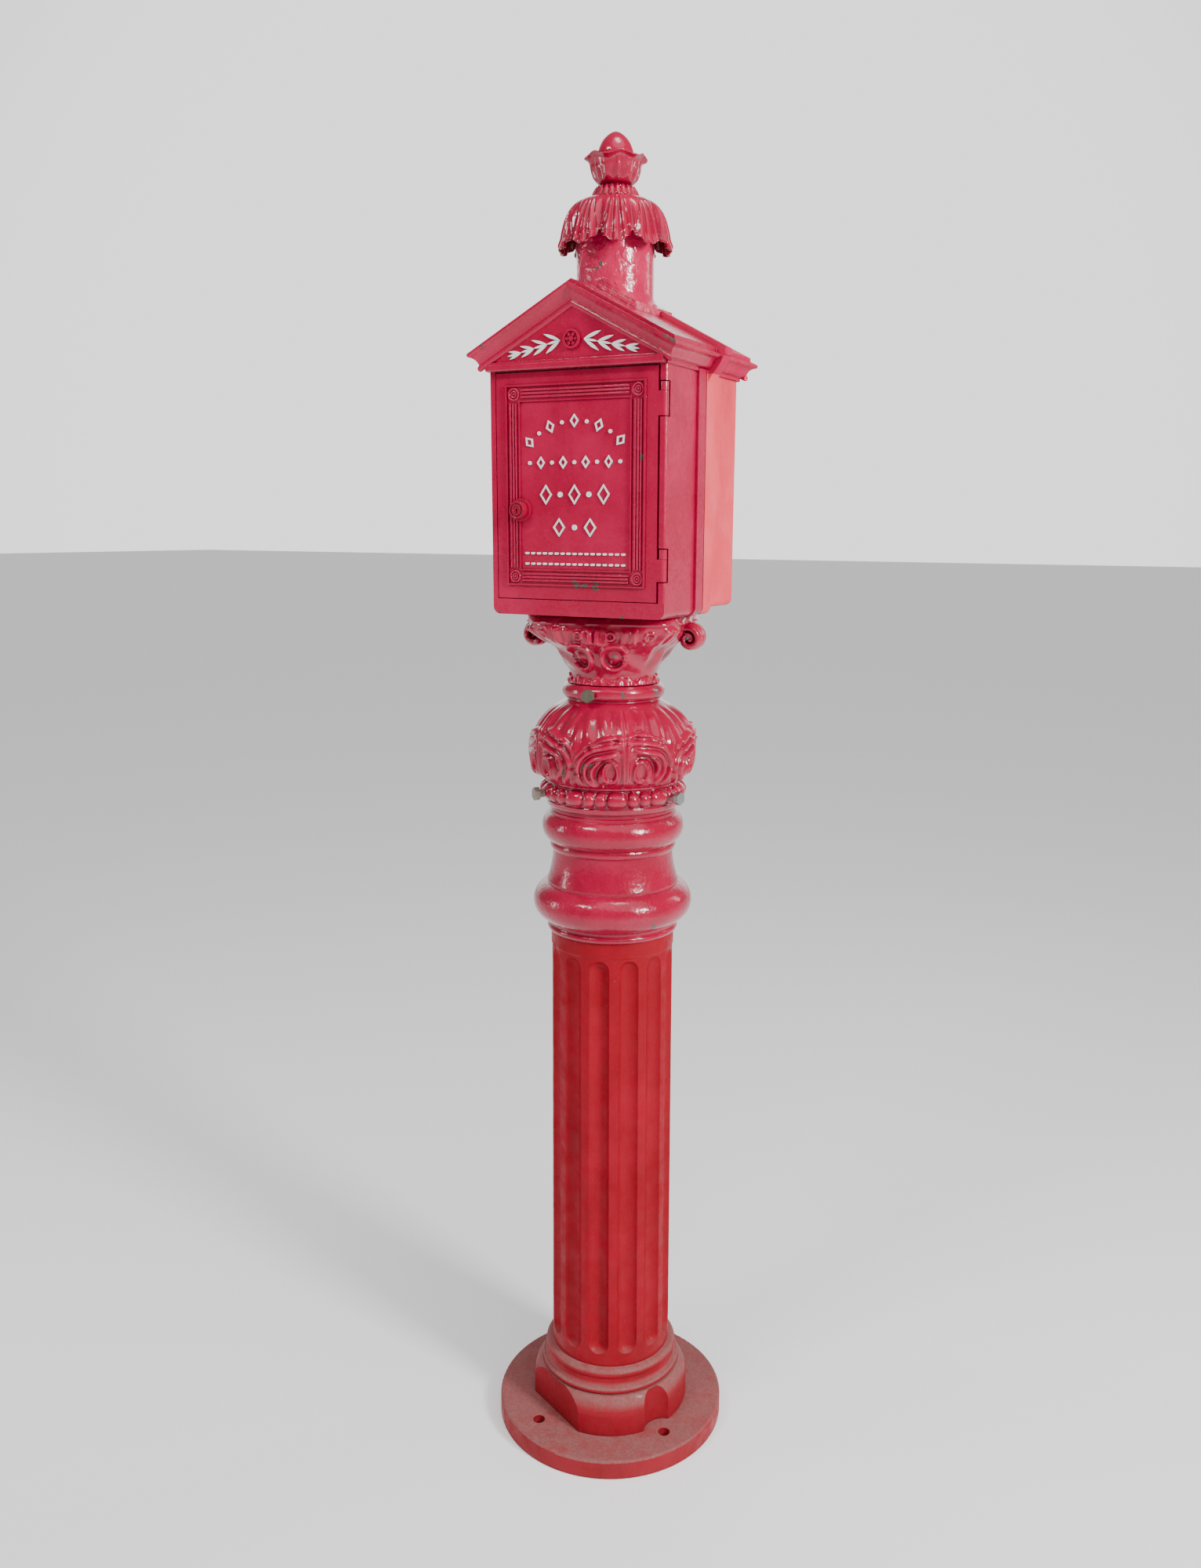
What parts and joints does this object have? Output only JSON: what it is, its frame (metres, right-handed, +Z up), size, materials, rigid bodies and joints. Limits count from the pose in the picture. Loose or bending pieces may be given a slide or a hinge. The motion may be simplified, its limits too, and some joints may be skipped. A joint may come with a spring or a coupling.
{
  "type": "street fire alarm cable box",
  "caption": "Street fire alarm cable cabinet with gabled roof, chimney and leaf finial on a fluted cast-iron post; hinged door with cam lock, cable way up the post to a terminal board.",
  "frame": {"origin": "centre of the foot flange's underside, on the ground", "axes": "+Z up the post, -Y the way the door faces, +X towards the hinge side"},
  "size_m": [0.4064, 0.4064, 2.187],
  "materials": {
    "red_enamel": "gloss enamel over rough cast iron",
    "white_enamel": "brushed-on enamel",
    "bare_steel": "dull, slightly rusted",
    "brass": "aged",
    "rubber": "matte",
    "board": "pressed insulating board",
    "porcelain": "glazed porcelain",
    "fuse_glass": "clear"
  },
  "bodies": {
    "column": {"pedestal_column": "red_enamel", "column_cap": "red_enamel"},
    "sleeve": {"neck_sleeve": "red_enamel", "sleeve_set_bolts": "bare_steel", "collar_set_bolts": "bare_steel"},
    "head": {"capital": "red_enamel", "front_case": "red_enamel", "rear_case": "red_enamel", "chimney": "red_enamel", "skirt_cap": "red_enamel", "finial": "red_enamel", "upper_hinge_leaf": "red_enamel", "lower_hinge_leaf": "red_enamel", "pediment_rosette": "red_enamel", "pediment_sprays": "white_enamel", "case_bolts": "bare_steel", "mounting_bolts": "bare_steel", "mounting_nuts": "bare_steel", "saddle_bolts": "bare_steel", "finial_stud": "bare_steel", "stud_nut": "bare_steel", "upper_hinge_pin": "bare_steel", "lower_hinge_pin": "bare_steel", "hinge_screws": "bare_steel", "strike_plate": "bare_steel", "strike_screws": "bare_steel", "board_screws": "bare_steel", "ground_screw": "bare_steel", "binding_posts": "brass", "binding_nuts": "brass", "fuse_clips": "brass", "ground_lug": "brass", "case_gasket": "rubber", "door_gasket": "rubber", "cable_bushing": "rubber", "terminal_board": "board", "board_spacers": "board", "fuse_blocks": "porcelain", "fuses": "fuse_glass"},
    "door": {"door": "red_enamel", "door_marks": "white_enamel", "lock_body": "brass", "lock_nut": "brass"},
    "lock": {"lock_plug": "brass", "lock_cam": "bare_steel", "cam_nut": "bare_steel"}
  },
  "joints": [
    {"name": "sleeve_swivel", "type": "hinge", "parent": "column", "child": "sleeve", "pos_m": [0, 0, 1.1475], "axis": [0, 0, 1], "range_deg": [-180, 180]},
    {"name": "head_swivel", "type": "hinge", "parent": "sleeve", "child": "head", "pos_m": [0, 0, 1.352], "axis": [0, 0, 1], "range_deg": [-180, 180]},
    {"name": "door_hinge", "type": "hinge", "parent": "head", "child": "door", "pos_m": [0.1442, -0.1213, 1.66], "axis": [0, 0, 1], "range_deg": [0, 120]},
    {"name": "lock_turn", "type": "hinge", "parent": "door", "child": "lock", "pos_m": [-0.096, -0.12, 1.626], "axis": [0, 1, 0], "range_deg": [0, 90]}
  ]
}
